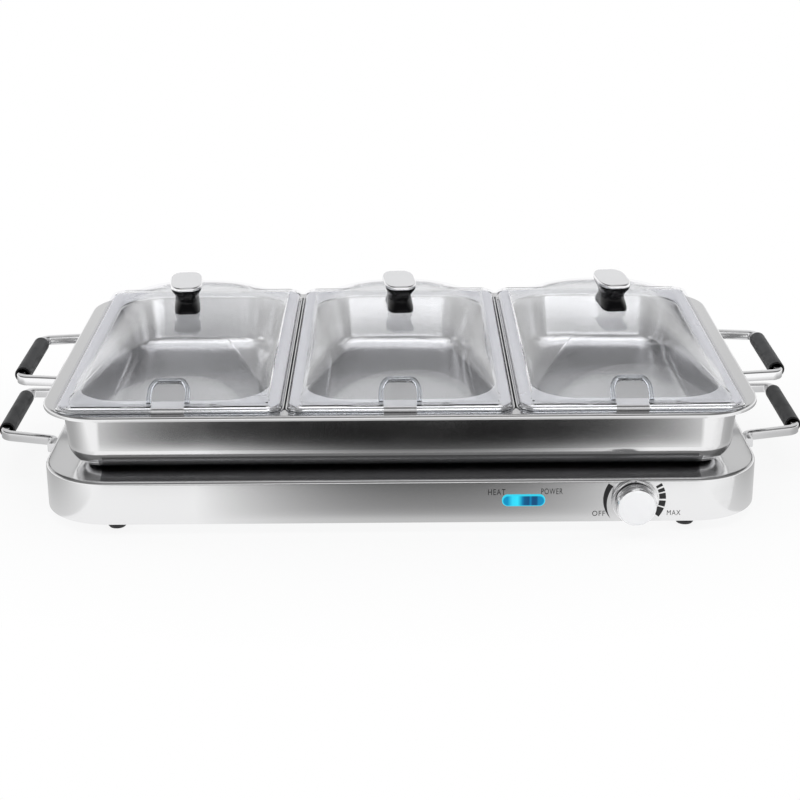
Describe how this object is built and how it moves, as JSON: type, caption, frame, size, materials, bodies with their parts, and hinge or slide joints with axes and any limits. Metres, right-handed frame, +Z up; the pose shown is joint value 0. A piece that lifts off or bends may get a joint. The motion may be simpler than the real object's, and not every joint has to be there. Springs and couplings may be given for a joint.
{
  "type": "electric buffet server",
  "caption": "Low electric warming base with a thermostat knob and a lift-off steel frame, which holds food pans under clear domed lids; looped carrying handles at each end.",
  "frame": {"origin": "on the table, under the middle of the base", "axes": "+X along the length to the right as seen from the front, +Y from the control panel to the back, +Z up"},
  "size_m": [0.7136, 0.3853, 0.1675],
  "materials": {
    "brushed_steel": "brushed stainless steel sheet, satin, grain along the length",
    "pan_steel": "drawn stainless steel, satin inside, brighter on the flange",
    "zinc_steel": "dull zinc plated steel",
    "chrome": "bright plated steel",
    "aluminium": "rolled aluminium, satin",
    "brass": "turned brass",
    "foot_rubber": "matte black rubber",
    "grip_rubber": "dark grey grip sleeve with a fine grain",
    "black_plastic": "glossy black phenolic moulding",
    "white_plastic": "heat-proof off-white moulding",
    "knob_silver": "satin silver with a pale flat face",
    "clear_plastic": "clear moulded plastic",
    "lens_blue": "lit cyan indicator lens",
    "lamp_glass": "small clear lamp",
    "insulation": "mineral fibre board",
    "wire_red": "insulated wire",
    "wire_blue": "insulated wire",
    "wire_white": "insulated wire"
  },
  "bodies": {
    "base": {"base_shell": "brushed_steel", "bottom_plate": "zinc_steel", "foot_front_left": "foot_rubber", "foot_rear_left": "foot_rubber", "foot_front_right": "foot_rubber", "foot_rear_right": "foot_rubber", "foot_screw_front_left": "zinc_steel", "foot_screw_rear_left": "zinc_steel", "foot_screw_front_right": "zinc_steel", "foot_screw_rear_right": "zinc_steel", "heat_spreader": "aluminium", "heating_element": "zinc_steel", "insulation_board": "insulation", "element_cover": "zinc_steel", "thermal_fuse": "aluminium", "thermostat_body": "white_plastic", "thermostat_nut": "zinc_steel", "indicator_lens": "lens_blue", "lamp_holder": "white_plastic", "heat_lamp": "lamp_glass", "power_lamp": "lamp_glass", "cord_gland": "black_plastic", "terminal_block": "white_plastic", "wire_terminal_to_thermostat": "wire_red", "wire_thermostat_to_element": "wire_white", "wire_terminal_to_element": "wire_blue", "base_handle_left": "chrome", "base_grip_left": "grip_rubber", "base_handle_screw_front_left": "zinc_steel", "base_handle_screw_rear_left": "zinc_steel", "base_handle_right": "chrome", "base_grip_right": "grip_rubber", "base_handle_screw_front_right": "zinc_steel", "base_handle_screw_rear_right": "zinc_steel"},
    "knob": {"thermostat_knob": "knob_silver", "thermostat_shaft": "brass"},
    "frame": {"frame_tray": "brushed_steel", "frame_handle_left": "chrome", "frame_grip_left": "grip_rubber", "frame_handle_screw_front_left": "zinc_steel", "frame_handle_screw_rear_left": "zinc_steel", "frame_handle_right": "chrome", "frame_grip_right": "grip_rubber", "frame_handle_screw_front_right": "zinc_steel", "frame_handle_screw_rear_right": "zinc_steel"},
    "pan_left": {"food_pan_left": "pan_steel"},
    "pan_middle": {"food_pan_middle": "pan_steel"},
    "pan_right": {"food_pan_right": "pan_steel"},
    "cover_left": {"lid_left": "clear_plastic", "lid_knob_post_left": "black_plastic", "lid_knob_cap_left": "chrome", "lid_screw_left": "zinc_steel"},
    "cover_middle": {"lid_middle": "clear_plastic", "lid_knob_post_middle": "black_plastic", "lid_knob_cap_middle": "chrome", "lid_screw_middle": "zinc_steel"},
    "cover_right": {"lid_right": "clear_plastic", "lid_knob_post_right": "black_plastic", "lid_knob_cap_right": "chrome", "lid_screw_right": "zinc_steel"}
  },
  "joints": [
    {"name": "thermostat_turn", "type": "hinge", "parent": "base", "child": "knob", "pos_m": [0.192, -0.178, 0.02775], "axis": [0, -1, 0], "range_deg": [-135, 135]},
    {"name": "frame_lift", "type": "slide", "parent": "base", "child": "frame", "axis": [0, 0, 1], "range_m": [0, 0.08]},
    {"name": "pan_left_lift", "type": "slide", "parent": "frame", "child": "pan_left", "axis": [0, 0, 1], "range_m": [0, 0.08]},
    {"name": "pan_middle_lift", "type": "slide", "parent": "frame", "child": "pan_middle", "axis": [0, 0, 1], "range_m": [0, 0.08]},
    {"name": "pan_right_lift", "type": "slide", "parent": "frame", "child": "pan_right", "axis": [0, 0, 1], "range_m": [0, 0.08]},
    {"name": "lid_left_lift", "type": "slide", "parent": "pan_left", "child": "cover_left", "axis": [0, 0, 1], "range_m": [0, 0.1]},
    {"name": "lid_middle_lift", "type": "slide", "parent": "pan_middle", "child": "cover_middle", "axis": [0, 0, 1], "range_m": [0, 0.1]},
    {"name": "lid_right_lift", "type": "slide", "parent": "pan_right", "child": "cover_right", "axis": [0, 0, 1], "range_m": [0, 0.1]}
  ]
}
